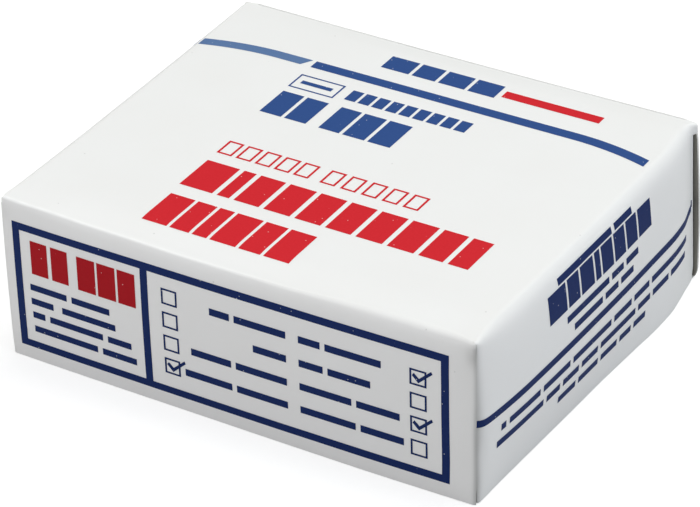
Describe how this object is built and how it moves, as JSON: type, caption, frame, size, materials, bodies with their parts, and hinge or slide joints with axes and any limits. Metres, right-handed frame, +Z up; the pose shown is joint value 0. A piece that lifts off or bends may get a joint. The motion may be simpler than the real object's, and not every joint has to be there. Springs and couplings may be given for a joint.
{
  "type": "microscope slide box",
  "caption": "Folded white board carton with a lid hinged along its back edge, its side flaps bowed outwards, holding a stack of glass microscope slides that stand on edge.",
  "frame": {"origin": "middle of the carton's footprint, on the surface it stands on", "axes": "+X along the slides to the printed side, +Y from the front to the hinged back, +Z up"},
  "size_m": [0.0841, 0.0686, 0.0278],
  "materials": {
    "coated_board": "clay-coated white outside, grey inside",
    "slide_glass": "clear with ground edges",
    "blue_ink": "printed ink",
    "pale_ink": "printed ink",
    "navy_ink": "printed ink",
    "red_ink": "printed ink",
    "dark_red_ink": "printed ink"
  },
  "bodies": {
    "tray": {"tray": "coated_board", "slide_01": "slide_glass", "slide_02": "slide_glass", "slide_03": "slide_glass", "slide_04": "slide_glass", "slide_05": "slide_glass", "slide_06": "slide_glass", "slide_07": "slide_glass", "slide_08": "slide_glass", "slide_09": "slide_glass", "slide_10": "slide_glass", "slide_11": "slide_glass", "slide_12": "slide_glass", "slide_13": "slide_glass", "slide_14": "slide_glass", "slide_15": "slide_glass", "slide_16": "slide_glass", "slide_17": "slide_glass", "slide_18": "slide_glass", "slide_19": "slide_glass", "slide_20": "slide_glass", "slide_21": "slide_glass", "slide_22": "slide_glass", "slide_23": "slide_glass", "slide_24": "slide_glass", "slide_25": "slide_glass", "slide_26": "slide_glass", "slide_27": "slide_glass", "slide_28": "slide_glass", "slide_29": "slide_glass", "slide_30": "slide_glass", "slide_31": "slide_glass", "slide_32": "slide_glass", "slide_33": "slide_glass", "slide_34": "slide_glass", "slide_35": "slide_glass", "slide_36": "slide_glass", "slide_37": "slide_glass", "slide_38": "slide_glass", "slide_39": "slide_glass", "slide_40": "slide_glass", "slide_41": "slide_glass", "slide_42": "slide_glass", "slide_43": "slide_glass", "slide_44": "slide_glass", "slide_45": "slide_glass", "slide_46": "slide_glass", "slide_47": "slide_glass", "slide_48": "slide_glass", "slide_49": "slide_glass", "slide_50": "slide_glass"},
    "lid": {"lid": "coated_board", "top_print_blue": "blue_ink", "top_print_pale": "pale_ink", "top_print_red": "red_ink", "front_print_blue": "navy_ink", "front_print_red": "dark_red_ink", "side_print_blue": "navy_ink"}
  },
  "joints": [
    {"name": "lid_hinge", "type": "hinge", "parent": "tray", "child": "lid", "pos_m": [0, 0.03378, 0.02747], "axis": [-1, 0, 0], "range_deg": [0, 180]}
  ]
}
